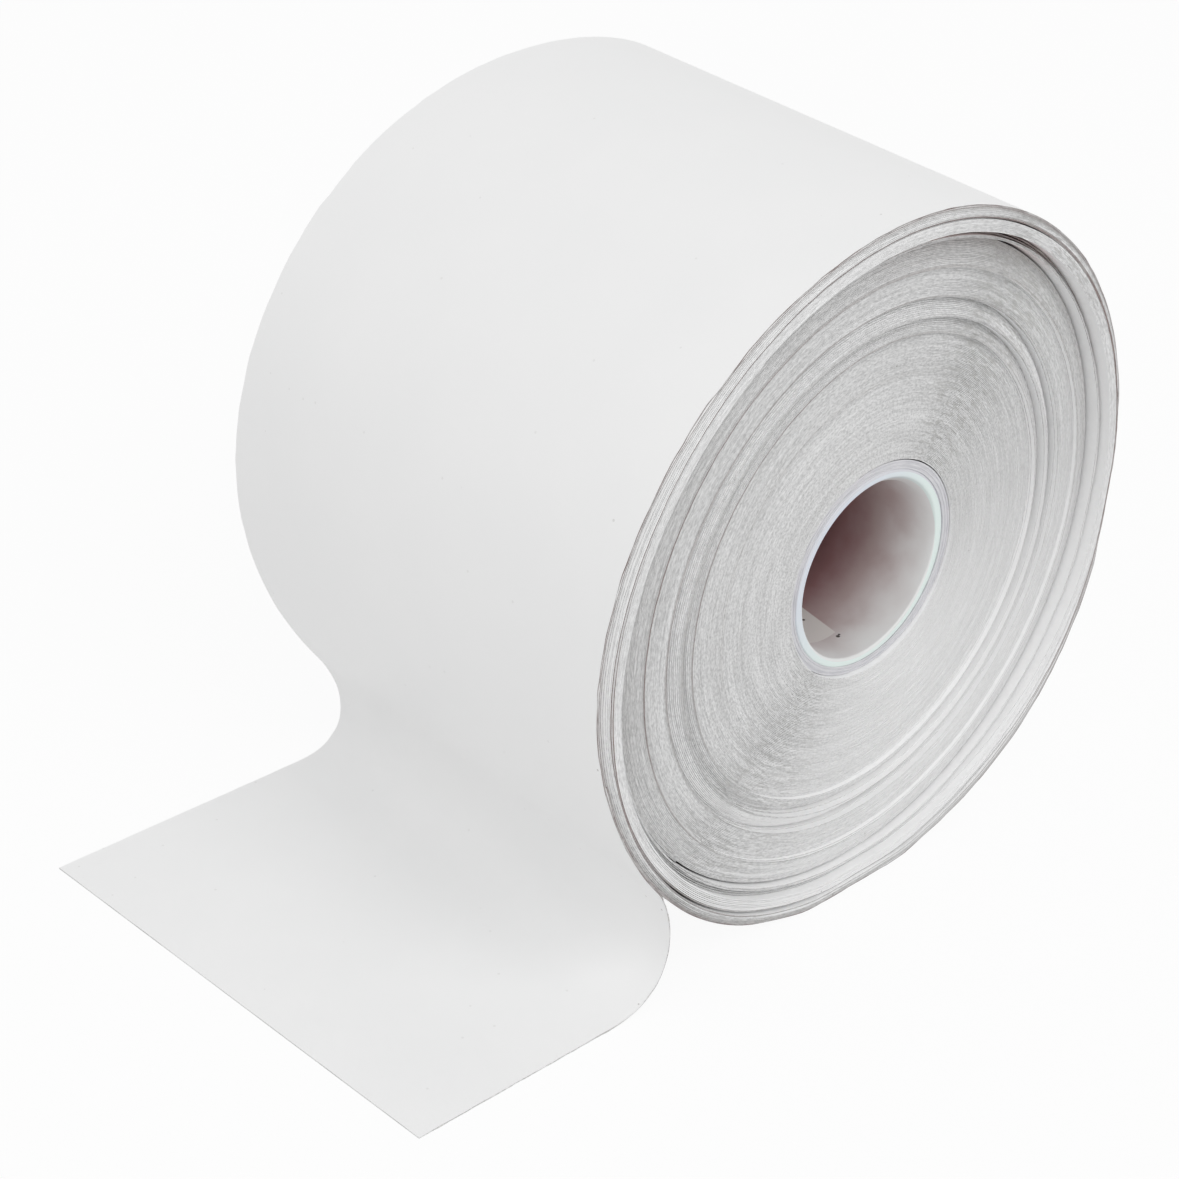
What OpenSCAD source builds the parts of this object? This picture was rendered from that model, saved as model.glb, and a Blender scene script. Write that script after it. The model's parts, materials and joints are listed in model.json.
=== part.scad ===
// Roll of vinyl label tape, lying on its side with a tail of tape run out on the table.
// Millimetres. The origin is the middle of the core's bore, +Y runs along the bore and +Z is up.
// The tape is a vinyl face film stuck to a release liner. It is wound film side out,
// comes over the top of the roll, down its -X side, and bends away to lie flat towards -X.

/* [Tape] */
// Width of the tape
tape_w = 76.2; // [25.4:0.1:152.4]
// Thickness of the vinyl face film with its adhesive
film_t = 0.12; // [0.08:0.01:0.3]
// Thickness of the release liner
liner_t = 0.08; // [0.05:0.01:0.2]

/* [Roll] */
// Diameter over the outermost wrap where the tail leaves it
roll_d = 104; // [90:0.5:180]
// Number of slack wraps round the outside of the tight winding
slack_wraps = 6; // [2:1:10]
// Air between one slack wrap and the next
slack_gap = 0.45; // [0.42:0.01:0.8]
// Air between the innermost slack wrap and the tight winding
winding_gap = 0.35; // [0.3:0.05:1]
// Half of the angle that the weight presses flat against the table
flat_half_angle = 7.5; // [5:0.5:9]
// How far the slack wraps and the tail have slipped out at the -Y end
slack_slip = 2.5; // [0:0.1:6]
// Thickness of each bunch of tight wraps, from the outside in; the last bunch fills the rest
bunch_t = [3.9, 4.2, 2.6, 2.1, 6.4];
// How far the outer and the inner wrap of each of those bunches, and of the last, stand out at the -Y end
bunch_out = [[0, 1.5], [0.6, 1.3], [0.1, 1.3], [0.1, 1], [0.1, 0.3], [0.3, 0]];

/* [Core] */
// Bore of the core, which goes on the spindle
core_bore = 25.4; // [12:0.1:40]
// Wall of the core
core_wall = 1.2; // [1:0.1:4]
// Chamfer round each mouth of the bore
core_chamfer = 0.3; // [0.2:0.1:0.9]
// Build-up of the leader tape that fastens the tape to the core
leader_t = 1.2; // [0.4:0.1:3]
// How far the leader tape stays in from each end of the core
leader_inset = 0.8; // [0.2:0.1:3]

/* [Tail] */
// Inner radius of the bend from the roll to the table
bend_r = 10; // [6:0.5:16]
// Length of tape that lies flat on the table
tail_flat = 36.3; // [30:0.1:120]
// Length of face film at the end that peels off the liner
peel_length = 20; // [8:0.5:25]
// Slit between two stretches of tape at a line where the tape flexes
flex_slit = 0.15; // [0.1:0.05:0.3]

/* [Hidden] */
$fn = 96;

white_vinyl = [0.93, 0.93, 0.93];
cream_liner = [0.88, 0.86, 0.80];
milky_plastic = [0.84, 0.91, 0.88];
grey_leader = [0.66, 0.66, 0.69];
layered_grey = [0.80, 0.80, 0.79];

// Faces of the tape, as heights above the back of the liner
back = 0;
seam = liner_t;
face = liner_t + film_t;
tape_t = face;

// Slack wraps: a spiral that loses one pitch of radius in each turn
roll_r = roll_d / 2;
slack_pitch = tape_t + slack_gap;
table_z = -(roll_r - slack_pitch) * cos(flat_half_angle);
turn_step = 6;

// Core and tight winding
core_r = core_bore / 2 + core_wall;
leader_r = core_r + leader_t;
slack_bore_r = (roll_r - slack_wraps * slack_pitch - tape_t) * cos(flat_half_angle);
winding_r = slack_bore_r - winding_gap;

// The bend touches the roll on one side and the table on the other
bend_z = table_z + tape_t + bend_r;
bend_x = -sqrt(pow(roll_r + bend_r, 2) - pow(bend_z, 2));
leave_angle = 360 + atan2(bend_z, bend_x);
bend_start = leave_angle - 180;
bend_end = -90;
bend_steps = 18;
tail_end_x = bend_x - tail_flat;
peel_x = tail_end_x + peel_length;
flex_angle = flex_slit / bend_r * 180 / PI;

// Angles of the spiral's corners, from the tail inwards, with none on the flat pressed by the table
first_corner = 270 - flat_half_angle;
corners_in_turn = floor((360 - 2 * flat_half_angle) / turn_step);
corner_step = (360 - 2 * flat_half_angle) / corners_in_turn;
function turn_corners(k) = [for (i = [0 : corners_in_turn]) first_corner - 360 * k - corner_step * i];
all_corners = [for (k = [0 : slack_wraps]) each turn_corners(k)];
last_corner = leave_angle - 360 * slack_wraps;
slack_angles = concat([leave_angle],
                      [for (a = all_corners) if (a < leave_angle - 1 && a > last_corner + 1) a],
                      [last_corner]);

// Radius of the tape's face at a wound angle: the flat's two corners share one radius
function on_flat(a) = abs(sin(a) + cos(flat_half_angle)) < 0.0001 && sin(a) < 0;
function flat_turn(a) = round((270 - a) / 360);
function face_radius(a) = on_flat(a) ? roll_r - slack_pitch * flat_turn(a)
                                     : roll_r - slack_pitch * (leave_angle - a) / 360;
function slack_point(a, height) = (face_radius(a) - (face - height)) * [cos(a), sin(a)];
function slack_line(height) = [for (a = slack_angles) slack_point(a, height)];

// The tail: round the bend, then flat to the cut end
function bend_angle(i) = bend_start - flex_angle + (bend_end - bend_start + flex_angle) * i / bend_steps;
function bend_point(i, height) = [bend_x, bend_z]
    + (bend_r + face - height) * [cos(bend_angle(i)), sin(bend_angle(i))];
function tail_line(height, end_x) = concat([for (i = [0 : bend_steps]) bend_point(i, height)],
                                           [[end_x, table_z + height]]);

// The room between two turns of the slack wraps, measured from the back of one to the face of the next
function reversed(list) = [for (i = [len(list) - 1 : -1 : 0]) list[i]];
least_gap = min([for (i = [0 : len(slack_angles) - 1], j = [i : len(slack_angles) - 1])
    let (wound = slack_angles[i] - slack_angles[j])
    if (wound > 300 && wound < 420)
        norm(slack_point(slack_angles[i], back) - slack_point(slack_angles[j], face))]);
echo(str("Least gap between slack wraps: ", least_gap, " mm"));

// A strip of tape of the full width, between two lines that run side by side, slipped along the roll
module strip(outer_line, inner_line) {
    translate([0, -slack_slip, 0])
        rotate([90, 0, 0])
            linear_extrude(height = tape_w, center = true)
                polygon(concat(outer_line, reversed(inner_line)));
}

// A round piece about the bore, from a half section given as radius and place along the roll
module turned() {
    rotate([90, 0, 0])
        rotate_extrude()
            children();
}

module core() {
    bore_r = core_bore / 2;
    end = tape_w / 2;
    color(milky_plastic)
        turned()
            polygon([[bore_r, end - core_chamfer], [bore_r + core_chamfer, end], [core_r, end],
                     [core_r, -end], [bore_r + core_chamfer, -end], [bore_r, core_chamfer - end]]);
}

module core_leader() {
    end = tape_w / 2 - leader_inset;
    color(grey_leader)
        turned()
            polygon([[core_r, end], [leader_r, end], [leader_r, -end], [core_r, -end]]);
}

// Each wrap is as wide as the tape; within a bunch, the wraps have slipped along the roll step by step
module wound_tape() {
    bunches = len(bunch_t) + 1;
    depth = [for (i = 0, d = 0; i < bunches; d = d + (i < len(bunch_t) ? bunch_t[i] : 0), i = i + 1) d];
    outer_r = [for (i = [0 : bunches - 1]) winding_r - depth[i]];
    inner_r = [for (i = [0 : bunches - 1]) i < bunches - 1 ? outer_r[i + 1] : leader_r];
    function end_line(side) = [for (i = [0 : bunches - 1])
        each [[outer_r[i], side * tape_w / 2 + bunch_out[i][0]],
              [inner_r[i], side * tape_w / 2 + bunch_out[i][1]]]];
    color(layered_grey)
        turned()
            polygon(concat(end_line(1), reversed(end_line(-1))));
}

module slack_film() {
    color(white_vinyl)
        strip(slack_line(face), slack_line(seam));
}

module slack_liner() {
    color(cream_liner)
        strip(slack_line(seam), slack_line(back));
}

module tail_film() {
    color(white_vinyl)
        strip(tail_line(face, peel_x + flex_slit), tail_line(seam, peel_x + flex_slit));
}

module tail_liner() {
    color(cream_liner)
        strip(tail_line(seam, tail_end_x), tail_line(back, tail_end_x));
}

// The end of the face film, which lifts off the liner when a label is peeled
module label_end() {
    color(white_vinyl)
        strip([[peel_x, table_z + face], [tail_end_x, table_z + face]],
              [[peel_x, table_z + seam], [tail_end_x, table_z + seam]]);
}

core();
core_leader();
wound_tape();
slack_film();
slack_liner();
tail_film();
tail_liner();
label_end();
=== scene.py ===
import json
import math

import bpy
import numpy as np
from mathutils import Matrix, Vector

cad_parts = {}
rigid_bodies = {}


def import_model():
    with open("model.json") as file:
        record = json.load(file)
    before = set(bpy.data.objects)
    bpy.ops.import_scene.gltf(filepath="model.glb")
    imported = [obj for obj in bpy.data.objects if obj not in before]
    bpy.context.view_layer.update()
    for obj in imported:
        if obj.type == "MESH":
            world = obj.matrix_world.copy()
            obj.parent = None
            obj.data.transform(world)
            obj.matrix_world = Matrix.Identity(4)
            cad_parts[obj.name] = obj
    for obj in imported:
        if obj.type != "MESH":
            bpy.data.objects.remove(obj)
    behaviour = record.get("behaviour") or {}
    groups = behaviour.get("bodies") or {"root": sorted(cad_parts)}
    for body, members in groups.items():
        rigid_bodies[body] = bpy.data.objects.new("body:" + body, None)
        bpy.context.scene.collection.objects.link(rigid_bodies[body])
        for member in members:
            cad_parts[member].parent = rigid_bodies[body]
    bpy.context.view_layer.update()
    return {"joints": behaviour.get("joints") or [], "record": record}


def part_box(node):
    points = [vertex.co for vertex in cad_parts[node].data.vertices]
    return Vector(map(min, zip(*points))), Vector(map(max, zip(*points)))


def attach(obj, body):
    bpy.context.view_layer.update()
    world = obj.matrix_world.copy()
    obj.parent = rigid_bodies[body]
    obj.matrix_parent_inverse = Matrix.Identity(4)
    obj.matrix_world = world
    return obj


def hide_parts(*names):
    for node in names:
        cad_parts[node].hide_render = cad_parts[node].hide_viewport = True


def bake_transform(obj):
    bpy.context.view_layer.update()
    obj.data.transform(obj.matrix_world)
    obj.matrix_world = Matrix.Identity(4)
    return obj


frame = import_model()

# Sizes taken from the frame, in metres
MM = 0.001
TURN = 2 * math.pi
joints = {joint["name"]: joint for joint in frame["joints"]}
mounts = {mount["name"]: mount for mount in frame["record"]["mounts"]}
leave = Vector(joints["tail_lift"]["pos_m"])
peel = Vector(joints["label_peel"]["pos_m"])
slack_low, slack_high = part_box("slack_film")
half_width = (slack_high.y - slack_low.y) / 2
slip = -(slack_high.y + slack_low.y) / 2
table_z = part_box("tail_liner")[0].z
tail_end_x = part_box("tail_liner")[0].x
face_z = peel.z
tape_t = face_z - table_z
film_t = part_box("label_end")[1].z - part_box("label_end")[0].z
liner_t = tape_t - film_t
roll_r = math.hypot(leave.x, leave.z)
leave_angle = math.atan2(leave.z, leave.x)
winding_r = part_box("wound_tape")[1].x

# The core and the leader are drawn a little larger than their solids, as the photograph shows their ends
CORE_GROWTH = 0.6 * MM
LEADER_GROWTH = 0.7 * MM
bore_r = mounts["core_bore"]["dims"]["r_mm"] * MM
core_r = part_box("core")[1].x + CORE_GROWTH
core_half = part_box("core")[1].y
leader_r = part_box("core_leader")[1].x + LEADER_GROWTH
leader_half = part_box("core_leader")[1].y + LEADER_GROWTH


# Camera at the photograph's viewing angle
IMAGE_SIZE = 1179
SENSOR = 36.0
FOCAL_PIXELS = 2439.6
CAMERA_AZIMUTH = -42.357
CAMERA_ELEVATION = 31.871
CAMERA_TILT = 1.111
CAMERA_DISTANCE = 351.5 * MM
CAMERA_RIGHT = -12.37 * MM
CAMERA_UP = -17.74 * MM


def make_camera():
    azimuth = math.radians(CAMERA_AZIMUTH)
    elevation = math.radians(CAMERA_ELEVATION)
    tilt = math.radians(CAMERA_TILT)
    back = Vector((math.sin(azimuth) * math.cos(elevation),
                   -math.cos(azimuth) * math.cos(elevation),
                   math.sin(elevation)))
    level = Vector((math.cos(azimuth), math.sin(azimuth), 0))
    upright = back.cross(level)
    right = level * math.cos(tilt) + upright * math.sin(tilt)
    up = upright * math.cos(tilt) - level * math.sin(tilt)
    place = back * CAMERA_DISTANCE + right * CAMERA_RIGHT + up * CAMERA_UP
    data = bpy.data.cameras.new("camera")
    data.sensor_width = SENSOR
    data.lens = SENSOR * FOCAL_PIXELS / IMAGE_SIZE
    data.clip_start = 0.01
    camera = bpy.data.objects.new("camera", data)
    turn = Matrix((right, up, back)).transposed()
    camera.matrix_world = Matrix.Translation(place) @ turn.to_4x4()
    bpy.context.scene.collection.objects.link(camera)
    bpy.context.scene.camera = camera


make_camera()


# Helpers for modelling

def deselect_all():
    for thing in bpy.context.view_layer.objects:
        thing.select_set(False)


def add_grid(name, columns, rows):
    """A flat grid, and where each corner lies along (0 to 1) and across (-1 to 1)."""
    deselect_all()
    bpy.ops.mesh.primitive_grid_add(x_subdivisions=columns, y_subdivisions=rows, size=2)
    sheet = bpy.context.active_object
    sheet.name = name
    sheet.data.name = name
    places = get_corners(sheet)
    return sheet, (places[:, 0] + 1) / 2, places[:, 1]


def get_corners(sheet):
    places = np.zeros(len(sheet.data.vertices) * 3)
    sheet.data.vertices.foreach_get("co", places)
    return places.reshape(-1, 3)


def place_corners(sheet, x, y, z):
    sheet.data.vertices.foreach_set("co", np.stack([x, y, z], axis=-1).ravel())
    sheet.data.update()


def add_value(sheet, name, values):
    attribute = sheet.data.attributes.new(name, "FLOAT", "POINT")
    attribute.data.foreach_set("value", np.asarray(values, dtype=np.float32))


def thicken(sheet, thickness, share=1.0, lean=0.0):
    """Gives a sheet its thickness, downwards from the face, or a share of it at each corner.

    With a lean, the cut edges are not square: the back stays in from the face's edges.
    """
    count = len(sheet.data.vertices)
    wall = sheet.modifiers.new("thickness", "SOLIDIFY")
    wall.thickness = thickness
    wall.offset = -1
    wall.use_even_offset = True
    bpy.context.view_layer.objects.active = sheet
    bpy.ops.object.modifier_apply(modifier=wall.name)
    places = get_corners(sheet)
    face, back = places[:count], places[count:]
    back += (face - back) * (1 - np.reshape(share, (-1, 1)))
    back[:, 1] -= lean * np.sign(back[:, 1])
    place_corners(sheet, *places.T)


def smooth_by_angle(piece, degrees):
    deselect_all()
    piece.select_set(True)
    bpy.context.view_layer.objects.active = piece
    bpy.ops.object.shade_smooth_by_angle(angle=math.radians(degrees))


def smooth_step(t):
    t = np.clip(t, 0, 1)
    return t * t * (3 - 2 * t)


def between(pair, share):
    """A value between that at the near edge of the tape (share 0) and that at its far edge (share 1)."""
    return pair[0] + (pair[1] - pair[0]) * share


def wound_noise(seed, turns, angle, turn_pitch, sectors):
    """Smooth noise, about -1 to 1, over the turns of the tape and round the roll."""
    row = turns / turn_pitch
    column = (angle / TURN % 1) * sectors
    table = np.random.default_rng(seed).normal(0, 0.6, (int(row.max()) + 3, sectors))
    i = np.floor(row).astype(int)
    j = np.floor(column).astype(int) % sectors
    s = smooth_step(row - i)
    t = smooth_step(column - np.floor(column))
    k = (j + 1) % sectors
    low = table[i, j] * (1 - t) + table[i, k] * t
    high = table[i + 1, j] * (1 - t) + table[i + 1, k] * t
    return low * (1 - s) + high * s


def run_noise(seed, along, pitch):
    """Smooth noise, about -1 to 1, along a run."""
    row = (along - along.min()) / pitch
    table = np.random.default_rng(seed).normal(0, 0.6, int(row.max()) + 3)
    i = np.floor(row).astype(int)
    s = smooth_step(row - i)
    return table[i] * (1 - s) + table[i + 1] * s


def corner_noise(seed, along, across, stations):
    """A value of its own, about -1 to 1, for each corner along both edges of a ribbon."""
    table = np.random.default_rng(seed).normal(0, 0.5, (stations + 1, 2))
    return table[np.rint(along * stations).astype(int), (across > 0).astype(int)]


# Node tools for materials

def new_material(name):
    material = bpy.data.materials.new(name)
    material.use_nodes = True
    nodes = material.node_tree.nodes
    nodes.clear()
    shader = nodes.new("ShaderNodeBsdfPrincipled")
    output = nodes.new("ShaderNodeOutputMaterial")
    material.node_tree.links.new(shader.outputs["BSDF"], output.inputs["Surface"])
    return material, shader


def fill_inputs(tree, node, inputs):
    for key, value in inputs.items():
        if isinstance(value, bpy.types.NodeSocket):
            tree.links.new(value, node.inputs[key])
        else:
            node.inputs[key].default_value = value
    return node


def add_node(tree, kind, settings=None, inputs=None):
    node = tree.nodes.new(kind)
    for key, value in (settings or {}).items():
        setattr(node, key, value)
    return fill_inputs(tree, node, inputs or {})


def place_group(tree, group, inputs):
    node = tree.nodes.new("ShaderNodeGroup")
    node.node_tree = group
    return fill_inputs(tree, node, inputs)


def new_group(name, inputs, outputs):
    """An empty node group with its sockets, given as names with their kinds."""
    group = bpy.data.node_groups.new(name, "ShaderNodeTree")
    for socket, kind in inputs.items():
        group.interface.new_socket(socket, in_out="INPUT", socket_type=kind)
    for socket in outputs:
        group.interface.new_socket(socket, in_out="OUTPUT", socket_type="NodeSocketFloat")
    return group, group.nodes.new("NodeGroupInput"), group.nodes.new("NodeGroupOutput")


def math_node(tree, operation, first, second=0.0):
    return add_node(tree, "ShaderNodeMath", {"operation": operation}, {0: first, 1: second}).outputs[0]


def map_range(tree, value, low, high, to_low=0.0, to_high=1.0):
    node = add_node(tree, "ShaderNodeMapRange", {"interpolation_type": "SMOOTHSTEP"}, {
        "Value": value, "From Min": low, "From Max": high, "To Min": to_low, "To Max": to_high})
    return node.outputs["Result"]


def mix_colour(tree, factor, first, second, blend="MIX"):
    node = add_node(tree, "ShaderNodeMix", {"data_type": "RGBA", "blend_type": blend},
                    {"Factor": factor, "A": first, "B": second})
    return node.outputs["Result"]


def colour_ramp(tree, factor, stops):
    node = add_node(tree, "ShaderNodeValToRGB", inputs={"Fac": factor})
    ramp = node.color_ramp
    while len(ramp.elements) < len(stops):
        ramp.elements.new(0.5)
    for element, (position, colour) in zip(ramp.elements, stops):
        element.position = position
        element.color = (*colour, 1)
    return node.outputs["Color"]


def noise(tree, place, scale, detail=2.0):
    node = add_node(tree, "ShaderNodeTexNoise", inputs={"Vector": place, "Scale": scale, "Detail": detail})
    return node.outputs["Fac"]


def set_bump(tree, shader, height, strength, distance):
    bump = add_node(tree, "ShaderNodeBump", inputs={
        "Height": height, "Strength": strength, "Distance": distance})
    tree.links.new(bump.outputs["Normal"], shader.inputs["Normal"])


def attribute_value(tree, name):
    return add_node(tree, "ShaderNodeAttribute", {"attribute_name": name}).outputs["Fac"]


def grey(value):
    return (value, value, value)


def object_places(tree):
    return add_node(tree, "ShaderNodeTexCoord").outputs["Object"]


def split_places(tree, place):
    return add_node(tree, "ShaderNodeSeparateXYZ", inputs={"Vector": place}).outputs


def round_places(tree, place):
    """Radius about the roll's axis, and the direction there as a unit vector."""
    flat = add_node(tree, "ShaderNodeVectorMath", {"operation": "MULTIPLY"}, {0: place, 1: (1, 0, 1)})
    radius = add_node(tree, "ShaderNodeVectorMath", {"operation": "LENGTH"}, {0: flat.outputs[0]})
    heading = add_node(tree, "ShaderNodeVectorMath", {"operation": "NORMALIZE"}, {0: flat.outputs[0]})
    return radius.outputs["Value"], heading.outputs[0]


def make_grime_group():
    """Small dark specks and a faint cloudiness, as on a handled white surface."""
    inputs = {"Place": "NodeSocketVector", "Speck scale": "NodeSocketFloat", "Speck size": "NodeSocketFloat"}
    group, entry, result = new_group("grime", inputs, ("Specks", "Cloud"))
    cells = add_node(group, "ShaderNodeTexVoronoi", {"feature": "F1"},
                     {"Vector": entry.outputs["Place"], "Scale": entry.outputs["Speck scale"]})
    inside = math_node(group, "LESS_THAN", cells.outputs["Distance"], entry.outputs["Speck size"])
    chance = add_node(group, "ShaderNodeSeparateColor", inputs={"Color": cells.outputs["Color"]})
    chosen = math_node(group, "GREATER_THAN", chance.outputs["Red"], 0.82)
    group.links.new(math_node(group, "MULTIPLY", inside, chosen), result.inputs["Specks"])
    group.links.new(noise(group, entry.outputs["Place"], 45.0, 3.0), result.inputs["Cloud"])
    return group


def make_grain_group():
    """Grain of many cut wraps: noise that is short across the wraps and drawn out round the roll."""
    inputs = {"Place": "NodeSocketVector", "Wraps per metre": "NodeSocketFloat", "Round": "NodeSocketFloat"}
    group, entry, result = new_group("cut grain", inputs, ("Grain",))
    radius, heading = round_places(group, entry.outputs["Place"])
    count = math_node(group, "MULTIPLY", radius, entry.outputs["Wraps per metre"])
    spread = add_node(group, "ShaderNodeVectorMath", {"operation": "SCALE"},
                      {0: heading, "Scale": entry.outputs["Round"]})
    parts = split_places(group, spread.outputs[0])
    drawn = add_node(group, "ShaderNodeCombineXYZ", inputs={"X": parts["X"], "Y": count, "Z": parts["Z"]})
    group.links.new(noise(group, drawn.outputs[0], 1.0, 2.0), result.inputs["Grain"])
    return group


GRIME = make_grime_group()
CUT_GRAIN = make_grain_group()


def cut_grain(tree, place, wraps_per_metre, around):
    inputs = {"Place": place, "Wraps per metre": wraps_per_metre, "Round": around}
    return place_group(tree, CUT_GRAIN, inputs).outputs["Grain"]


def facing(tree, heading, angle):
    """1 in one direction round the roll, down to -1 in the opposite one."""
    inputs = {0: heading, 1: (math.cos(angle), 0, math.sin(angle))}
    return add_node(tree, "ShaderNodeVectorMath", {"operation": "DOT_PRODUCT"}, inputs).outputs["Value"]


def crumb(tree, place, centre, size):
    """A mask for one small dark crumb."""
    away = add_node(tree, "ShaderNodeVectorMath", {"operation": "DISTANCE"}, {0: place, 1: centre})
    return map_range(tree, away.outputs["Value"], size, 0.7 * size)


def vinyl_material():
    """Smooth white vinyl with a soft gloss, a faint unevenness and a few specks, most near the rim."""
    material, shader = new_material("white vinyl")
    tree = material.node_tree
    place = object_places(tree)
    grime = place_group(tree, GRIME, {"Place": place, "Speck scale": 420.0, "Speck size": 0.08}).outputs
    tint = colour_ramp(tree, grime["Cloud"], [(0.3, (0.888, 0.89, 0.89)), (0.7, (0.91, 0.91, 0.909))])
    at_rim = map_range(tree, split_places(tree, place)["Y"], -half_width + 4 * MM, -half_width, 0.15, 0.55)
    dirt = math_node(tree, "MULTIPLY", grime["Specks"], at_rim)
    colour = mix_colour(tree, dirt, tint, (0.42, 0.40, 0.38, 1))
    tree.links.new(colour, shader.inputs["Base Color"])
    tree.links.new(map_range(tree, grime["Cloud"], 0.3, 0.7, 0.42, 0.52), shader.inputs["Roughness"])
    set_bump(tree, shader, noise(tree, place, 90.0), 0.08, 0.8 * MM)
    shader.inputs["Specular IOR Level"].default_value = 0.4
    return material


# Round the roll, where one looks in between the wraps from the camera's side, and the cut edges get dark
# dashes painted as shade in the gaps
DASH_SHADE_ANGLE = math.radians(52)
# Where the gaps between the slack wraps get a warm painted shade
WARM_SHADE_ANGLE = math.radians(72)
# Where the wraps' edges lie smoother
CALM_ANGLE = math.radians(317)


def wound_material(name, shade, gap_shade_warmth):
    """A face of the tape inside the roll: of one shade by the edges, and painted dark and warm further in
    between the wraps, as painted shade.

    Where the wraps' gaps stand open, the warm painted shade reaches close to the edges too, by a share.
    """
    material, shader = new_material(name)
    tree = material.node_tree
    place = object_places(tree)
    fibre = noise(tree, place, 900.0, 4.0)
    paper = colour_ramp(tree, fibre, [(0.3, grey(shade - 0.015)), (0.7, grey(shade + 0.015))])
    outward = math_node(tree, "ABSOLUTE", split_places(tree, place)["Y"])
    depth_shade = map_range(tree, outward, half_width - 1.5 * MM, half_width - 6 * MM)
    warm_shade_side = facing(tree, round_places(tree, place)[1], WARM_SHADE_ANGLE)
    shaded = map_range(tree, outward, half_width + 2.2 * MM, half_width + 1.2 * MM)
    gap_shade = math_node(tree, "MULTIPLY", shaded, map_range(tree, warm_shade_side, 0.88, 0.98, 0.0, gap_shade_warmth))
    colour = mix_colour(tree, math_node(tree, "MAXIMUM", depth_shade, gap_shade), paper, (0.58, 0.38, 0.35, 1))
    tree.links.new(colour, shader.inputs["Base Color"])
    shader.inputs["Roughness"].default_value = 0.5
    set_bump(tree, shader, fibre, 0.15, 0.05 * MM)
    return material


def backing_material():
    """The bare back of the liner under the tail: coated paper with a fine cloud."""
    material, shader = new_material("liner back")
    tree = material.node_tree
    place = object_places(tree)
    fibre = noise(tree, place, 900.0, 4.0)
    paper = colour_ramp(tree, fibre, [(0.3, (0.70, 0.69, 0.65)), (0.7, (0.77, 0.76, 0.73))])
    tree.links.new(paper, shader.inputs["Base Color"])
    shader.inputs["Roughness"].default_value = 0.5
    set_bump(tree, shader, fibre, 0.15, 0.05 * MM)
    return material


def edge_material():
    """Cut edges of the wraps, toned wrap by wrap, with a rough drawn-out grain and a few specks.

    Where one looks along the wraps, thin dark dashes are painted as the shade in the gaps between them. The
    tone also carries painted light and painted shade.
    """
    material, shader = new_material("tape edges")
    tree = material.node_tree
    place = object_places(tree)
    tone = attribute_value(tree, "tone")
    fine = cut_grain(tree, place, 3700.0, 58.0)
    rings = cut_grain(tree, place, 2600.0, 2.0)
    grime = place_group(tree, GRIME, {"Place": place, "Speck scale": 380.0, "Speck size": 0.055}).outputs
    shade = colour_ramp(tree, tone, [
        (0.0, (0.21, 0.15, 0.14)), (0.2, (0.38, 0.345, 0.34)), (0.4, (0.58, 0.575, 0.57)),
        (0.62, grey(0.73)), (1.0, grey(0.97))])
    fine_shade = colour_ramp(tree, fine, [(0.3, grey(0.76)), (0.62, grey(1.05))])
    ring_shade = colour_ramp(tree, rings, [(0.35, grey(0.88)), (0.62, grey(1.03))])
    grain = mix_colour(tree, 1.0, fine_shade, ring_shade, "MULTIPLY")
    heading = round_places(tree, place)[1]
    calm = math_node(tree, "MAXIMUM", map_range(tree, tone, 0.75, 0.92, 0.0, 0.9),
                     map_range(tree, facing(tree, heading, CALM_ANGLE), 0.3, 0.95, 0.0, 0.6))
    grained = mix_colour(tree, 1.0, shade, mix_colour(tree, calm, grain, (1, 1, 1, 1)), "MULTIPLY")
    # Painted shade: dark dashes in the sector where one looks in between the wraps, and in the opposite one
    edge_on = facing(tree, heading, DASH_SHADE_ANGLE)
    dashes = cut_grain(tree, place, 2900.0, 16.0)
    above = map_range(tree, edge_on, 0.93, 1.0, 0.0, 0.6)
    below = map_range(tree, edge_on, -0.9, -1.0, 0.0, 0.42)
    sector = math_node(tree, "MULTIPLY", math_node(tree, "ADD", above, below),
                       math_node(tree, "SUBTRACT", 1.0, calm))
    dash_shade = math_node(tree, "MULTIPLY", sector, map_range(tree, dashes, 0.48, 0.41))
    dash_shaded = mix_colour(tree, dash_shade, grained, (0.43, 0.425, 0.41, 1))
    dirt = math_node(tree, "MULTIPLY", grime["Specks"], 0.6)
    colour = mix_colour(tree, dirt, dash_shaded, (0.16, 0.14, 0.12, 1))
    tree.links.new(colour, shader.inputs["Base Color"])
    tree.links.new(map_range(tree, fine, 0.3, 0.7, 0.6, 0.45), shader.inputs["Roughness"])
    burr = math_node(tree, "MULTIPLY", fine, math_node(tree, "SUBTRACT", 1.0, calm))
    set_bump(tree, shader, burr, 0.5, 0.1 * MM)
    shader.inputs["Specular IOR Level"].default_value = 0.3
    return material


# How much wider the bore is at its mouths
MOUTH_FLARE = 0.5 * MM
# A paler patch on the bore's wall: its side edge runs along the lowest part and its end lies in from the
# mouth
PALE_PATCH_X = -0.2 * MM
PALE_PATCH_SLANT = 0.137
PALE_PATCH_INSET = 5.6 * MM
PALE_PATCH_SKEW = 0.16
# The core's mouths are painted cooler and darker towards this side, as painted shade
MOUTH_SHADE_ANGLE = math.radians(138)
# How far in from its mouths the bore is painted darkest, as painted shade
PAINTED_SHADE_DEPTH = 24 * MM
# Dark crumbs on the wall of the bore: where, and how large
CRUMBS = (((0.0, 4.8 * MM - core_half, -bore_r), 0.35 * MM),
          ((0.45 * MM, 5.0 * MM - core_half, -bore_r), 0.22 * MM),
          ((-0.6 * MM, 10.8 * MM - core_half, -bore_r), 0.25 * MM))


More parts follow.
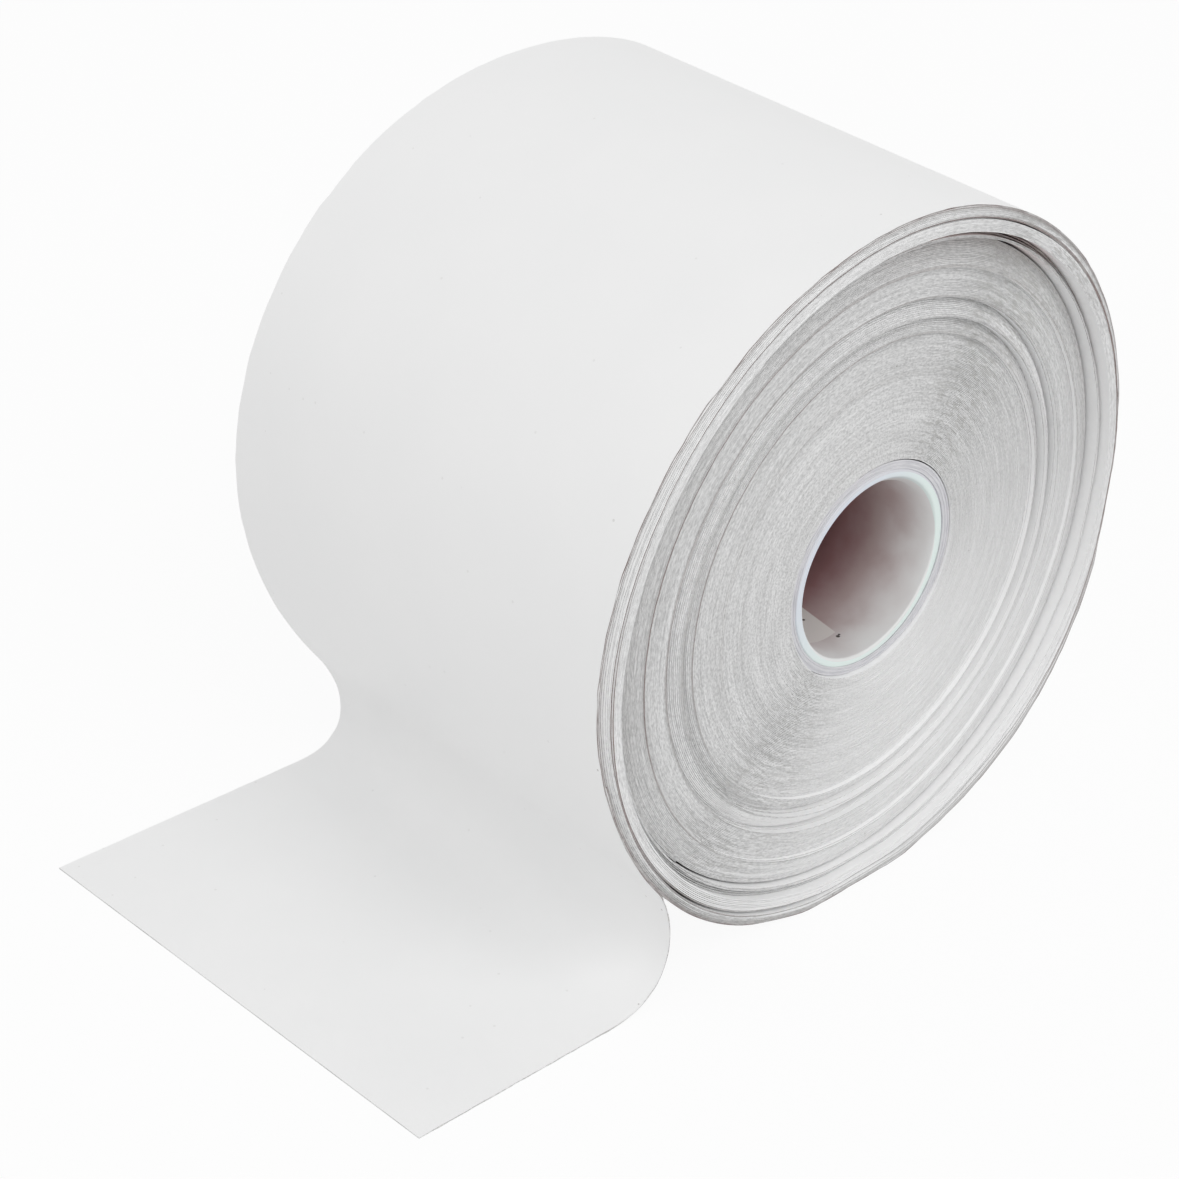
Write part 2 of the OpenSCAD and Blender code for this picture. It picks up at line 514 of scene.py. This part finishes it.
def core_material():
    """Milky plastic: cool white at the mouths, painted cooler on one side and darker and mauve further in as
    shade, with a paler patch and a few crumbs.
    """
    material, shader = new_material("milky core")
    tree = material.node_tree
    place = object_places(tree)
    parts = split_places(tree, place)
    radius, heading = round_places(tree, place)
    cloud = noise(tree, place, 160.0, 3.0)
    inward = math_node(tree, "SUBTRACT", core_half, math_node(tree, "ABSOLUTE", parts["Y"]))
    depth_shade = math_node(tree, "ADD", math_node(tree, "MULTIPLY", inward, 1 / PAINTED_SHADE_DEPTH),
                     map_range(tree, cloud, 0.3, 0.7, -0.05, 0.05))
    wall = colour_ramp(tree, depth_shade, [
        (0.0, (0.80, 0.81, 0.805)), (0.16, (0.70, 0.675, 0.67)), (0.35, (0.49, 0.395, 0.39)),
        (0.65, (0.315, 0.175, 0.18)), (1.0, (0.14, 0.053, 0.058))])
    side_edge = math_node(tree, "ADD", math_node(tree, "MULTIPLY", inward, PALE_PATCH_SLANT), PALE_PATCH_X)
    end_edge = math_node(tree, "ADD", math_node(tree, "MULTIPLY", parts["X"], PALE_PATCH_SKEW), PALE_PATCH_INSET)
    beside = map_range(tree, math_node(tree, "SUBTRACT", side_edge, parts["X"]), 0.0, 0.15 * MM)
    beyond = map_range(tree, math_node(tree, "SUBTRACT", inward, end_edge), 0.0, 0.15 * MM)
    below = math_node(tree, "LESS_THAN", parts["Z"], 0.0)
    pale = math_node(tree, "MULTIPLY", math_node(tree, "MULTIPLY", beside, beyond), below)
    wall = mix_colour(tree, pale, wall, (0.74, 0.715, 0.69, 1))
    for spot, size in CRUMBS:
        wall = mix_colour(tree, crumb(tree, place, spot, size), wall, (0.06, 0.05, 0.045, 1))
    mouth = colour_ramp(tree, map_range(tree, facing(tree, heading, MOUTH_SHADE_ANGLE), -0.3, 1.0),
                        [(0.0, (0.78, 0.88, 0.85)), (1.0, (0.72, 0.76, 0.83))])
    inside = math_node(tree, "LESS_THAN", radius, bore_r + MOUTH_FLARE + 0.1 * MM)
    # The core's outer wall is grey-lavender, partly its own colour and partly painted shade in the crevice
    # beside the leader
    outside = math_node(tree, "GREATER_THAN", radius, core_r - 0.05 * MM)
    surface = mix_colour(tree, inside, mouth, wall)
    surface = mix_colour(tree, outside, surface, (0.70, 0.705, 0.745, 1))
    grime = place_group(tree, GRIME, {"Place": place, "Speck scale": 150.0, "Speck size": 0.07}).outputs
    colour = mix_colour(tree, grime["Specks"], surface, (0.12, 0.09, 0.07, 1))
    tree.links.new(colour, shader.inputs["Base Color"])
    shader.inputs["Roughness"].default_value = 0.36
    shader.inputs["Subsurface Weight"].default_value = 0.1
    shader.inputs["Subsurface Radius"].default_value = (0.002, 0.002, 0.002)
    shader.inputs["Subsurface Scale"].default_value = 0.5
    set_bump(tree, shader, cloud, 0.1, 0.3 * MM)
    return material


def leader_material():
    """Grey-lavender leader tape in fine rings."""
    material, shader = new_material("leader tape")
    tree = material.node_tree
    place = object_places(tree)
    rings = cut_grain(tree, place, 5200.0, 6.0)
    colour = colour_ramp(tree, rings, [(0.3, (0.60, 0.60, 0.63)), (0.7, (0.75, 0.745, 0.765))])
    tree.links.new(colour, shader.inputs["Base Color"])
    shader.inputs["Roughness"].default_value = 0.45
    set_bump(tree, shader, rings, 0.4, 0.1 * MM)
    return material


VINYL = vinyl_material()
LINER = wound_material("release liner", 0.935, 0.0)
# The slack wraps' liner, with a warm shade painted in its open gaps
SLACK_LINER = wound_material("slack liner", 0.935, 0.4)
# The vinyl face inside the winding, painted darker than the vinyl as shade between the wraps
SHADED_WOUND_FILM = wound_material("wound film", 0.76, 0.0)
BACKING = backing_material()
EDGES = edge_material()
CORE = core_material()
LEADER = leader_material()


def dress_tape(piece, face_material, back_material):
    """Face, cut edges and back of a strip of tape."""
    for material in (face_material, EDGES, back_material):
        piece.data.materials.append(material)
    half = len(piece.data.vertices) // 2
    face_slot, edge_slot, back_slot = 0, 1, 2
    for polygon in piece.data.polygons:
        on_back = sum(corner >= half for corner in polygon.vertices)
        if on_back == 0:
            polygon.material_index = face_slot
        elif on_back == len(polygon.vertices):
            polygon.material_index = back_slot
        else:
            polygon.material_index = edge_slot
    smooth_by_angle(piece, 40)


# The core and the wraps about it sit a little high at the -Y end, and the core is not cut quite square there
CORE_RISE = 0.4 * MM
CORE_TILT = 0.015
CORE_TILT_ANGLE = math.radians(180)
RISE_DEPTH = 1.5 * MM
RISE_SPREAD = 13 * MM


def core_rise(radius, y):
    at_end = smooth_step((-y - core_half + RISE_DEPTH) / RISE_DEPTH)
    return CORE_RISE * at_end * (1 - smooth_step((radius - leader_r) / RISE_SPREAD))


def kept_in(slipped, across):
    """How far wraps have slipped towards -Y, with none standing out past the core at the +Y end."""
    return np.where(across > 0, np.maximum(slipped, 0), slipped)


# Tight winding: one ribbon from the slack wraps to the leader

PLY = 0.2 * MM
WINDING_STEP = 1.55 * MM
WINDING_EASE = 0.3 * MM
# How far the wraps stand out at the -Y end: bunches that lean out step by step and drop back
STAND_OUT = ((15.0, 0.35), (27.0, 0.1), (33.65, -0.35), (33.9, 0.45), (35.95, -0.8), (36.2, 0.85),
             (38.55, -1.0), (38.8, 0.67), (42.7, 0.35), (42.95, 1.0), (47.0, -0.25))
# The end of the winding is not quite square to the core, and on one side its outer wraps have sunk in
END_TILT = 0.021
TILT_ANGLE = math.radians(240)
DISH = 0.6 * MM
DISH_INNER_R = 34 * MM
DISH_ANGLE = math.radians(15)
# Paler and greyer bunches: a radius in millimetres and the tone of the wraps there; the outermost bunches are
# painted darker, as shade beside the standing-out slack bands
WINDING_TONE_AND_SHADE = ((15.0, 0.62), (36.1, 0.6), (36.3, 0.72), (38.5, 0.72), (38.8, 0.62), (42.8, 0.6),
                (43.1, 0.55), (45.5, 0.47), (47.0, 0.4))
# Wraps between bunches painted dark as shade at the steps, as a radius in millimetres and a depth of tone,
# and where the painted shade shows most
SHADE_LINE_WRAPS = ((28.4, 0.16), (34.0, 0.4), (34.95, 0.2), (36.3, 0.38), (38.9, 0.48), (43.05, 0.5))
SHADE_LINE_SPREAD = 0.15
SHADE_LINE_ANGLE = math.radians(150)
SHADE_LINE_ALL_ROUND = 0.45
# The side of the roll where the wraps' edges are painted paler, as painted light, and how much paler they are
# there
LIT_ANGLE = math.radians(278)
PAINTED_LIGHT_TONE = 0.2
OUTERMOST_PAINTED_LIGHT_TONE = 0.16
OUTERMOST_R = 42.8 * MM
# How far the cut edges lean out of square
EDGE_LEAN = -0.04 * MM


def towards(angle, middle):
    """1 on one side of the roll, down to 0 a quarter turn away from it and beyond."""
    return np.clip(np.cos(angle - middle), 0, 1)


def stand_out(radius, angle):
    radii, heights = np.array(STAND_OUT).T * MM
    outward = np.clip((radius - DISH_INNER_R) / (winding_r - DISH_INNER_R), 0, 1)
    dished = DISH * outward ** 2 * towards(angle, DISH_ANGLE) ** 2
    tilted = END_TILT * radius * np.cos(angle - TILT_ANGLE)
    return np.interp(radius, radii, heights) + tilted - dished


def winding_tone(radius, angle):
    radii, tones = np.array(WINDING_TONE_AND_SHADE).T
    outermost = smooth_step((radius - OUTERMOST_R) / MM)
    # Painted light: the cut edges are painted paler on the lit side of the roll, most on the outermost wraps
    paler = PAINTED_LIGHT_TONE + OUTERMOST_PAINTED_LIGHT_TONE * outermost
    tone = np.interp(radius, radii * MM, tones) + paler * towards(angle, LIT_ANGLE)
    # Painted shade: dark lines at the bunch steps, strongest on one side of the roll
    shown = SHADE_LINE_ALL_ROUND + (1 - SHADE_LINE_ALL_ROUND) * towards(angle, SHADE_LINE_ANGLE)
    for shade_line_radius, depth in SHADE_LINE_WRAPS:
        tone -= depth * shown * np.exp(-((radius / MM - shade_line_radius) / SHADE_LINE_SPREAD) ** 2)
    return tone


def make_winding():
    outer = winding_r - WINDING_EASE
    inner = leader_r + PLY
    length = math.pi * (outer ** 2 - inner ** 2) / PLY
    stations = int(length / WINDING_STEP)
    ribbon, along, across = add_grid("winding", stations, 1)
    radius = np.sqrt(outer ** 2 - along * (outer ** 2 - inner ** 2))
    turns = (outer - radius) / PLY
    angle = leave_angle - turns * TURN
    drift = 0.09 * MM * wound_noise(11, turns, angle, 4.0, 5)
    single = 0.03 * MM * wound_noise(12, turns, angle, 1.0, 40)
    ragged = 0.04 * MM * corner_noise(13, along, across, stations)
    y = across * half_width - kept_in(stand_out(radius, angle), across) + drift + single + ragged
    place_corners(ribbon, radius * np.cos(angle), y, radius * np.sin(angle) + core_rise(radius, y))
    wide = wound_noise(14, turns, angle, 6.0, 6)
    thin = wound_noise(15, turns, angle, 1.0, 30)
    add_value(ribbon, "tone", np.clip(winding_tone(radius, angle) + 0.04 * wide + 0.04 * thin, 0, 1))
    loose = 0.05 * wound_noise(16, turns, angle, 1.0, 30) + 0.06 * corner_noise(17, along, across, stations)
    thicken(ribbon, PLY, np.clip(0.86 + loose, 0.55, 0.97), EDGE_LEAN)
    dress_tape(ribbon, SHADED_WOUND_FILM, LINER)
    return ribbon


# Slack wraps: three bands with gaps that open where the oval gives them room

SLACK_R = 51.5 * MM
OVAL = 0.4 * MM
OVAL_AXIS = math.radians(95)
SLACK_TURNS = 20
SLACK_STEP = 1.2 * MM
BAND_TURNS = (7.68, 15.68)
SUNK_TURNS = 18.2
BAND_CROSSING = 0.2
GAP_AXIS = math.radians(60)
OUTER_WRAP_TURNS = 1.08
PRESS_SOFTNESS = 0.25 * MM
# The far end stands up behind the top of the roll, and both ends sag beside the table
TOP_BULGE = (2.4 * MM, math.radians(57), math.radians(22))
SAG = (0.9 * MM, math.radians(238), math.radians(18))
# How much further than the tail the bands have slipped out at the -Y end: an angle round the roll in degrees,
# then, in millimetres, the slip there of the outer band's outermost and innermost wrap, of the middle band
# and of the sunk wraps inside it
BAND_SLIP = ((0, -1.4, -0.4, -0.4, -2.2), (30, -1.2, -0.3, -0.4, -2.7), (60, -0.8, -0.1, 0.0, -2.2),
             (90, -0.2, 0.2, 0.2, -1.6), (135, -0.2, 0.55, 0.35, -1.4), (165, -0.7, 0.3, 0.35, -1.3),
             (180, -0.7, 0.3, 0.35, -1.2), (200, 0.0, 0.6, 0.3, -1.1), (222, 0.0, 0.4, 0.2, -1.0),
             (250, 0.35, 0.55, 0.2, -1.0), (268, 0.65, 0.8, 0.4, -1.0), (285, 0.5, 0.7, 0.35, -1.1),
             (302, 0.7, 0.85, 0.4, -1.3), (320, 0.6, 0.85, 0.35, -1.5), (340, -0.4, 0.25, 0.05, -1.8),
             (360, -1.4, -0.4, -0.4, -2.2))
INNER_BAND_STEP = 0.5 * MM
# By turns from the outside in: the tone of the cut edges, with the wraps at the gap between the outer and the
# middle band painted dark as shade; how it is painted paler or darker on the lit side, as painted light and
# shade; and the edges' lean
SLACK_TONE_AND_SHADE = ((1, 0.22), (2, 0.34), (4, 0.60), (6.3, 0.72), (6.5, 0.10), (8.1, 0.08), (8.3, 0.82),
              (15.6, 0.78), (15.9, 0.48), (18.2, 0.48), (18.4, 0.56), (20, 0.56))
SLACK_PAINTED_LIGHT_AND_SHADE = ((1, -0.1), (4, -0.2), (6, 0.14))
SLACK_LEAN = ((7.7, -1), (7.9, 0), (15.6, 0), (15.9, 1))


def oval_radius(angle):
    return SLACK_R + OVAL * np.cos(2 * (angle - OVAL_AXIS))


def bulge(angle, height, middle, spread):
    beside = np.arccos(np.clip(np.cos(angle - middle), -1, 1))
    return height * np.exp(-(beside / spread) ** 2)


def passed(turns, crossing):
    """0 before the tape crosses to the next band, 1 after it."""
    return smooth_step((turns - crossing) / BAND_CROSSING)


def slack_radius(turns, angle, across):
    """Radius of the tape's face in the slack wraps."""
    room = oval_radius(angle) - winding_r + WINDING_EASE - PLY * (SLACK_TURNS + 1)
    open_side = np.cos(angle - GAP_AXIS)
    outer_gap = room * (0.42 - 0.17 * open_side) * passed(turns, BAND_TURNS[0])
    fanned = np.clip((turns - BAND_TURNS[1]) / (SUNK_TURNS - BAND_TURNS[1]), 0, 1)
    inner_gap = room * (0.45 + 0.17 * open_side) * fanned
    bulges = bulge(angle, *TOP_BULGE) * (across + 1) / 2 + bulge(angle, *SAG)
    return oval_radius(angle) - PLY * turns - outer_gap - inner_gap + bulges * (1 - turns / SLACK_TURNS)


def slack_points(turns, angle, radius):
    """Rounds the wraps, and presses their underside flat on the table, wrap upon wrap."""
    x = radius * np.cos(angle)
    z = radius * np.sin(angle)
    first_turn = (leave_angle % TURN - 1.5 * math.pi) / TURN % 1
    lowest = table_z + PLY * (turns - first_turn)
    lifted = (z + lowest + np.sqrt((z - lowest) ** 2 + PRESS_SOFTNESS ** 2)) / 2
    return x, np.where(z < 0, lifted, z)


def eased_curve(x, points_x, points_y):
    """A smooth curve through points, level at its two ends."""
    slopes = np.gradient(points_y, points_x)
    slopes[[0, -1]] = 0
    i = np.clip(np.searchsorted(points_x, x, side="right") - 1, 0, len(points_x) - 2)
    step = points_x[i + 1] - points_x[i]
    t = (x - points_x[i]) / step
    start = points_y[i] + slopes[i] * step * t
    end = points_y[i + 1] - slopes[i + 1] * step * (1 - t)
    return start + (end - start) * smooth_step(t)


def slack_slip(turns, angle):
    """How far the slack wraps have slipped out at the -Y end."""
    angles, *columns = np.array(BAND_SLIP).T
    place = np.degrees(angle) % 360
    outermost, innermost, middle, sunk = (eased_curve(place, angles, column) * MM for column in columns)
    bands = outermost + (innermost - outermost) * np.clip(turns / BAND_TURNS[0], 0, 1)
    bands += (middle - bands) * passed(turns, BAND_TURNS[0])
    bands += (sunk - bands) * passed(turns, BAND_TURNS[1])
    return slip + bands + INNER_BAND_STEP * passed(turns, SUNK_TURNS)


def by_turns(table, turns):
    """Values between those that a table gives for turns of the tape."""
    at_turns, values = np.array(table).T
    return np.interp(turns, at_turns, values)


def make_slack_wraps():
    turns_total = SLACK_TURNS - OUTER_WRAP_TURNS
    stations = int(turns_total * TURN * SLACK_R / SLACK_STEP)
    ribbon, along, across = add_grid("slack_wraps", stations, 1)
    turns = OUTER_WRAP_TURNS + along * turns_total
    angle = leave_angle - turns * TURN
    x, z = slack_points(turns, angle, slack_radius(turns, angle, across))
    drift = 0.1 * MM * wound_noise(31, turns, angle, 2.0, 7)
    ragged = 0.07 * MM * wound_noise(32, turns, angle, 1.0, 60)
    rough = 0.04 * MM * corner_noise(33, along, across, stations)
    lit = towards(angle, LIT_ANGLE)
    uneven = 1 - 0.85 * lit * smooth_step(6 - turns)
    slipped = kept_in(slack_slip(turns, angle), across)
    place_corners(ribbon, x, across * half_width - slipped + (drift + ragged + rough) * uneven, z)
    tone = by_turns(SLACK_TONE_AND_SHADE, turns)
    sunk = passed(turns, BAND_TURNS[1]) * (1 - passed(turns, SUNK_TURNS))
    # Painted shade: the sunk wraps darker where their gaps open most, and the wraps inside the outer band
    # darker on the side where the winding's outer wraps have sunk in
    tone -= 0.35 * sunk * towards(angle, GAP_AXIS) ** 4
    tone -= 0.1 * passed(turns, BAND_TURNS[0]) * towards(angle, DISH_ANGLE) ** 2
    # Painted light and shade on the lit side of the roll
    tone = np.maximum(tone + lit * by_turns(SLACK_PAINTED_LIGHT_AND_SHADE, turns), 0.42 * lit)
    add_value(ribbon, "tone", np.clip(tone + 0.06 * wound_noise(34, turns, angle, 1.0, 30), 0, 1))
    loose = 0.08 * wound_noise(35, turns, angle, 1.0, 30)
    thicken(ribbon, PLY, np.clip(0.88 + loose, 0.6, 0.97), EDGE_LEAN * by_turns(SLACK_LEAN, turns))
    dress_tape(ribbon, SLACK_LINER, SLACK_LINER)
    return ribbon


# Tail: its bend differs a little from the near edge of the tape to the far edge

LEAVE_SLOPE = (math.radians(66), math.radians(55))
LEAVE_REACH = (8.0 * MM, 9.0 * MM)
LANDING_BACK = (9.3 * MM, 5.3 * MM)
LANDING_REACH = (10.5 * MM, 11.0 * MM)
TAIL_VEER = 0.027
TAIL_PIVOT_X = -71 * MM
END_SLANT = math.tan(math.radians(4.2))


def make_outer_wrap():
    columns, rows = 360, 24
    ribbon, along, across = add_grid("outer_wrap", columns, rows)
    turns = OUTER_WRAP_TURNS * along ** 1.5
    angle = leave_angle - turns * TURN
    share = (across + 1) / 2
    roll_slope = -(leave_angle + math.pi / 2) % math.pi
    step = math.radians(0.1)
    seam_radius = slack_radius(0, leave_angle, across)
    seam_slope = (seam_radius - slack_radius(0, leave_angle - step, across)) / step / roll_r
    turned = between(LEAVE_SLOPE, share) - roll_slope - seam_slope
    lift = roll_r - seam_radius
    lift_angle = 2 * lift / (roll_r * np.tan(turned))
    lifted = lift * np.clip(1 - turns * TURN / lift_angle, 0, 1) ** 2
    x, z = slack_points(turns, angle, slack_radius(turns, angle, across) + lifted)
    rag = 0.07 * MM * run_noise(51, turns, 0.006) + 0.1 * MM * run_noise(52, turns, 0.02)
    place_corners(ribbon, x, across * half_width - slack_slip(turns, angle) + rag * across ** 8, z)
    add_value(ribbon, "tone", np.clip(0.24 + 0.15 * run_noise(53, turns, 0.006), 0, 1))
    thicken(ribbon, tape_t)
    dress_tape(ribbon, VINYL, LINER)
    return ribbon


def bend_points(t, share):
    """Points of the tape's face round the bend, from the roll (0) to the table (1), and its direction."""
    slope = between(LEAVE_SLOPE, share)
    reach = between(LEAVE_REACH, share)
    landing_x = leave.x - between(LANDING_BACK, share)
    before_landing_x = landing_x + between(LANDING_REACH, share)
    corner_x = (leave.x, leave.x + reach * np.cos(slope), before_landing_x, landing_x)
    corner_z = (leave.z, leave.z - reach * np.sin(slope), face_z, face_z)

    def curve(a, b, c, d):
        return a * (1 - t) ** 3 + 3 * b * t * (1 - t) ** 2 + 3 * c * t ** 2 * (1 - t) + d * t ** 3

    def heading(a, b, c, d):
        return (b - a) * (1 - t) ** 2 + 2 * (c - b) * t * (1 - t) + (d - c) * t ** 2

    return curve(*corner_x), curve(*corner_z), heading(*corner_x), heading(*corner_z)


def tail_points(stage, across, depth):
    """A point of the tail: stage 0 to 1 is the bend, to 2 flat up to the peel line, to 3 the label."""
    share = (across + 1) / 2
    x, z, along_x, along_z = bend_points(np.clip(stage, 0, 1), share)
    length = np.hypot(along_x, along_z)
    landing_x = leave.x - between(LANDING_BACK, share)
    end_x = tail_end_x - (across * half_width) * END_SLANT
    x += (peel.x - landing_x) * np.clip(stage - 1, 0, 1) + (end_x - peel.x) * np.clip(stage - 2, 0, 1)
    veer = TAIL_VEER * (TAIL_PIVOT_X - x) * smooth_step(stage)
    y = across * half_width - slip + veer
    return x - depth * along_z / length, y, z + depth * along_x / length


def make_tail_sheet(name, first, last, depth, thickness, seed):
    columns_per_stage, rows = 44, 24
    sheet, along, across = add_grid(name, columns_per_stage * (last - first), rows)
    stage = last - along * (last - first)
    x, y, z = tail_points(stage, across, depth)
    rag = 0.05 * MM * run_noise(seed, stage, 0.08)
    place_corners(sheet, x, y + rag * across ** 8, z)
    add_value(sheet, "tone", np.clip(0.62 + 0.2 * run_noise(seed + 1, stage, 0.15), 0, 1))
    thicken(sheet, thickness)
    return sheet


def make_tail():
    face = make_tail_sheet("tail_face", 0, 2, 0, film_t, 61)
    label = make_tail_sheet("label_face", 2, 3, 0, film_t, 71)
    backing = make_tail_sheet("tail_backing", 0, 3, film_t, liner_t, 81)
    for piece in (face, label):
        dress_tape(piece, VINYL, VINYL)
    dress_tape(backing, BACKING, BACKING)
    return face, label, backing


# Core and leader

def spin_profile(name, profile, steps):
    """A round piece about the roll's axis from points given as radius and place along Y."""
    deselect_all()
    bpy.ops.mesh.primitive_circle_add(vertices=len(profile), radius=1, fill_type="NOTHING")
    piece = bpy.context.active_object
    piece.name = name
    piece.data.name = name
    for corner, (radius, y) in zip(piece.data.vertices, profile):
        corner.co = (radius, y, 0)
    bpy.ops.object.mode_set(mode="EDIT")
    bpy.ops.mesh.select_all(action="SELECT")
    bpy.ops.mesh.spin(steps=steps, angle=TURN, center=(0, 0, 0), axis=(0, 1, 0))
    bpy.ops.mesh.select_all(action="SELECT")
    bpy.ops.mesh.remove_doubles(threshold=0.001 * MM)
    bpy.ops.mesh.normals_make_consistent(inside=False)
    bpy.ops.object.mode_set(mode="OBJECT")
    return piece


def rounded_end(inner, outer, end, inner_round, outer_round):
    """Corners of a tube's end, with a rounded inner and outer lip."""
    steps = 5
    quarter = [math.pi / 2 * step / (steps - 1) for step in range(steps)]
    cut = [(1 - math.sin(a), 1 - math.cos(a)) for a in quarter]
    inner_lip = [(inner + inner_round * aside, end - inner_round * back) for aside, back in cut]
    outer_lip = [(outer - outer_round * aside, end - outer_round * back) for aside, back in cut]
    return inner_lip[::-1] + outer_lip


def raise_near_end(piece, tilt):
    """Lifts the -Y end of a round piece a little, but not into the bore, and tilts it."""
    x, y, z = get_corners(piece).T
    at_end = smooth_step((-y - core_half + RISE_DEPTH) / RISE_DEPTH)
    tilted = tilt * at_end * (x * math.cos(CORE_TILT_ANGLE) + z * math.sin(CORE_TILT_ANGLE))
    z = z + core_rise(np.hypot(x, z), y)
    radius = np.hypot(x, z)
    kept = np.maximum(radius, bore_r) / radius
    place_corners(piece, x * kept, y - tilted, z * kept)


# Roundings of the core's ends
INNER_LIP = 0.4 * MM
OUTER_LIP = 0.2 * MM
# The leader's turns of tape, how far every other one stands out, and the share of a turn that the gaps take
LEADER_PLIES = 5
LEADER_STEP = 0.05 * MM
LEADER_PLY_GAP = 0.04


def make_core():
    end = rounded_end(bore_r + MOUTH_FLARE, core_r, core_half, INNER_LIP, OUTER_LIP)
    far = [(bore_r, core_half - RISE_DEPTH), *end, (core_r, core_half - RISE_DEPTH)]
    near = [(radius, -y) for radius, y in far]
    tube = spin_profile("core_tube", near + far[::-1], 128)
    raise_near_end(tube, CORE_TILT)
    tube.data.materials.append(CORE)
    smooth_by_angle(tube, 40)
    return tube


def make_leader():
    ply = (leader_r - core_r) / LEADER_PLIES
    near = [(core_r, RISE_DEPTH - core_half)]
    for i in range(LEADER_PLIES):
        y = -leader_half + (LEADER_STEP if i % 2 else -LEADER_STEP)
        near += [(core_r + ply * (i + LEADER_PLY_GAP), y), (core_r + ply * (i + 1 - LEADER_PLY_GAP), y)]
    near.append((leader_r, RISE_DEPTH - core_half))
    far = [(radius, -y) for radius, y in reversed(near)]
    ring = spin_profile("leader_ring", near + far, 128)
    raise_near_end(ring, 0)
    ring.data.materials.append(LEADER)
    smooth_by_angle(ring, 30)
    return ring


def dress_part():
    core = make_core()
    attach(core, "winding")
    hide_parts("core")
    leader = make_leader()
    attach(leader, "winding")
    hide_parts("core_leader")
    winding = make_winding()
    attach(winding, "winding")
    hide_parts("wound_tape")
    slack = make_slack_wraps()
    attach(slack, "tape_web")
    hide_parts("slack_film", "slack_liner")
    outer = make_outer_wrap()
    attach(outer, "tape_web")
    face, label, backing = make_tail()
    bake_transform(face)
    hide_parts("tail_film")
    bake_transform(backing)
    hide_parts("tail_liner")
    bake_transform(label)
    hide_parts("label_end")


dress_part()


# Floor, light and background

AMBIENT = 0.675
FLOOR_SHADE = 0.82
FLOOR_GLOW = 0.93


def make_floor():
    deselect_all()
    bpy.ops.mesh.primitive_plane_add(size=6, location=(0, 0, table_z - 0.02 * MM))
    floor = bpy.context.active_object
    floor.name = "floor"
    material = bpy.data.materials.new("pale floor")
    material.use_nodes = True
    tree = material.node_tree
    tree.nodes.clear()
    matt = add_node(tree, "ShaderNodeBsdfDiffuse", inputs={"Color": (*grey(FLOOR_SHADE), 1)})
    glow = add_node(tree, "ShaderNodeEmission", inputs={"Color": (*grey(1.0), 1), "Strength": 1.0})
    path = add_node(tree, "ShaderNodeLightPath").outputs
    seen = math_node(tree, "MAXIMUM", path["Is Camera Ray"], path["Is Glossy Ray"])
    seen = math_node(tree, "MAXIMUM", seen, path["Is Transmission Ray"])
    share = math_node(tree, "MULTIPLY", seen, FLOOR_GLOW)
    mixed = add_node(tree, "ShaderNodeMixShader", inputs={0: share, 1: matt.outputs[0], 2: glow.outputs[0]})
    output = tree.nodes.new("ShaderNodeOutputMaterial")
    tree.links.new(mixed.outputs[0], output.inputs["Surface"])
    floor.data.materials.append(material)


def make_world():
    world = bpy.data.worlds.new("studio")
    bpy.context.scene.world = world
    world.use_nodes = True
    tree = world.node_tree
    tree.nodes.clear()
    path = add_node(tree, "ShaderNodeLightPath").outputs
    seen = math_node(tree, "MAXIMUM", path["Is Camera Ray"], path["Is Glossy Ray"])
    seen = math_node(tree, "MAXIMUM", seen, path["Is Transmission Ray"])
    strength = add_node(tree, "ShaderNodeMapRange", inputs={"Value": seen, "To Min": AMBIENT, "To Max": 1.0})
    sky = add_node(tree, "ShaderNodeBackground", inputs={
        "Color": (*grey(1.0), 1), "Strength": strength.outputs["Result"]})
    output = tree.nodes.new("ShaderNodeOutputWorld")
    tree.links.new(sky.outputs[0], output.inputs["Surface"])


def add_lamp(name, place, size, watts):
    data = bpy.data.lights.new(name, "AREA")
    data.shape = "DISK"
    data.size = size
    data.energy = watts
    lamp = bpy.data.objects.new(name, data)
    lamp.location = place
    lamp.rotation_euler = (-Vector(place)).to_track_quat("-Z", "Y").to_euler()
    bpy.context.scene.collection.objects.link(lamp)


make_floor()
make_world()
add_lamp("key", (-0.1, -0.8, 0.9), 0.9, 3.9)
add_lamp("fill", (-0.75, -0.3, 0.45), 0.6, 0.8)
bpy.context.scene.view_settings.view_transform = "Standard"
